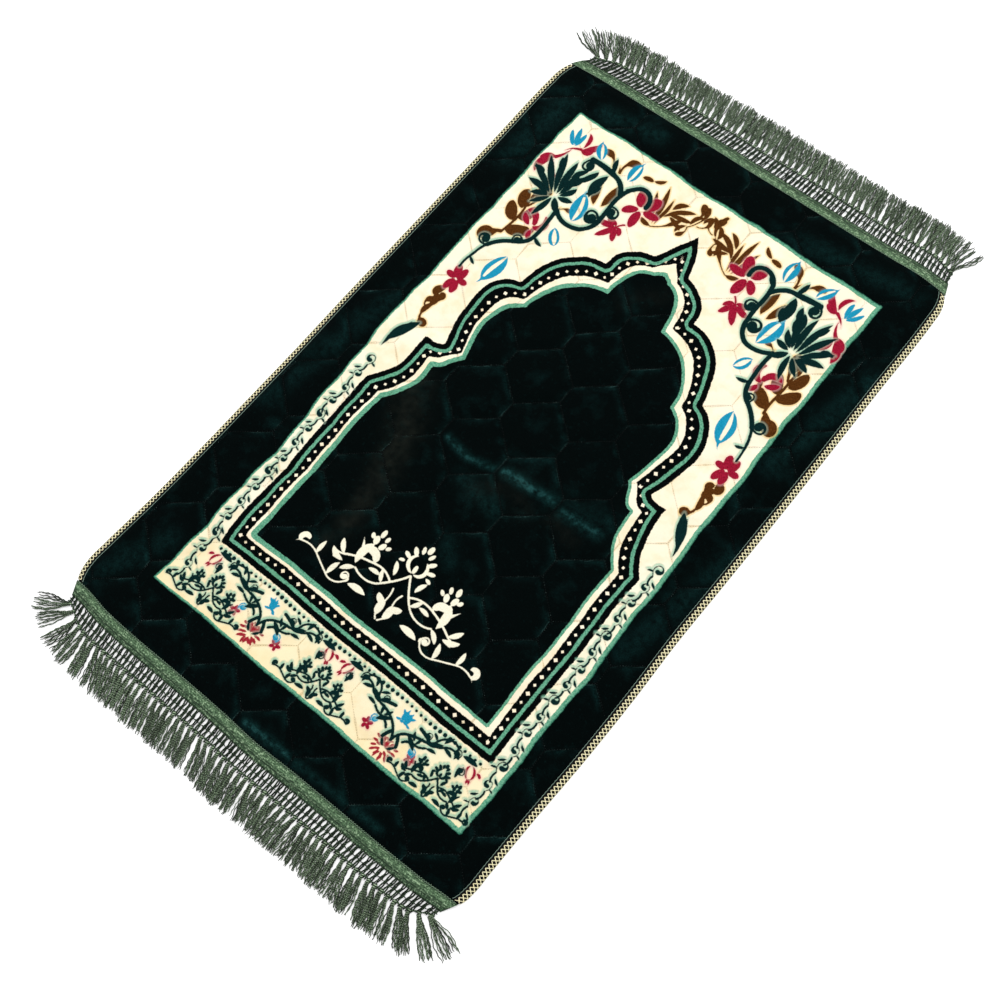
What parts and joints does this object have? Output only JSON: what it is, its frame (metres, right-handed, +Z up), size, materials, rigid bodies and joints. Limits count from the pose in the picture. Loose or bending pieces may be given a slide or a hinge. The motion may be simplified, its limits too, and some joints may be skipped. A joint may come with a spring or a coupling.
{
  "type": "prayer rug",
  "caption": "Quilted plush prayer rug with an arched panel, flowered corners, braided long edges and a fringed, netted trim on each short end.",
  "frame": {"origin": "middle of the rug's box, fringes included, on the floor it lies on", "axes": "+X across the rug to the right, +Y along the rug towards the point of its arch, +Z up out of the pile"},
  "size_m": [0.7378, 1.2683, 0.0123],
  "materials": {
    "plush": "dark blue-green cut pile with an ivory, mint, red, blue and brown pattern, quilted",
    "braid": "flat woven braid, cream-gold lattice over black",
    "trim": "ribbed sage-green tape with a twisted yarn fringe"
  },
  "bodies": {
    "root": {"rug_body": "plush", "binding_left": "braid", "binding_right": "braid", "fringe_near": "trim", "fringe_far": "trim"}
  },
  "joints": []
}
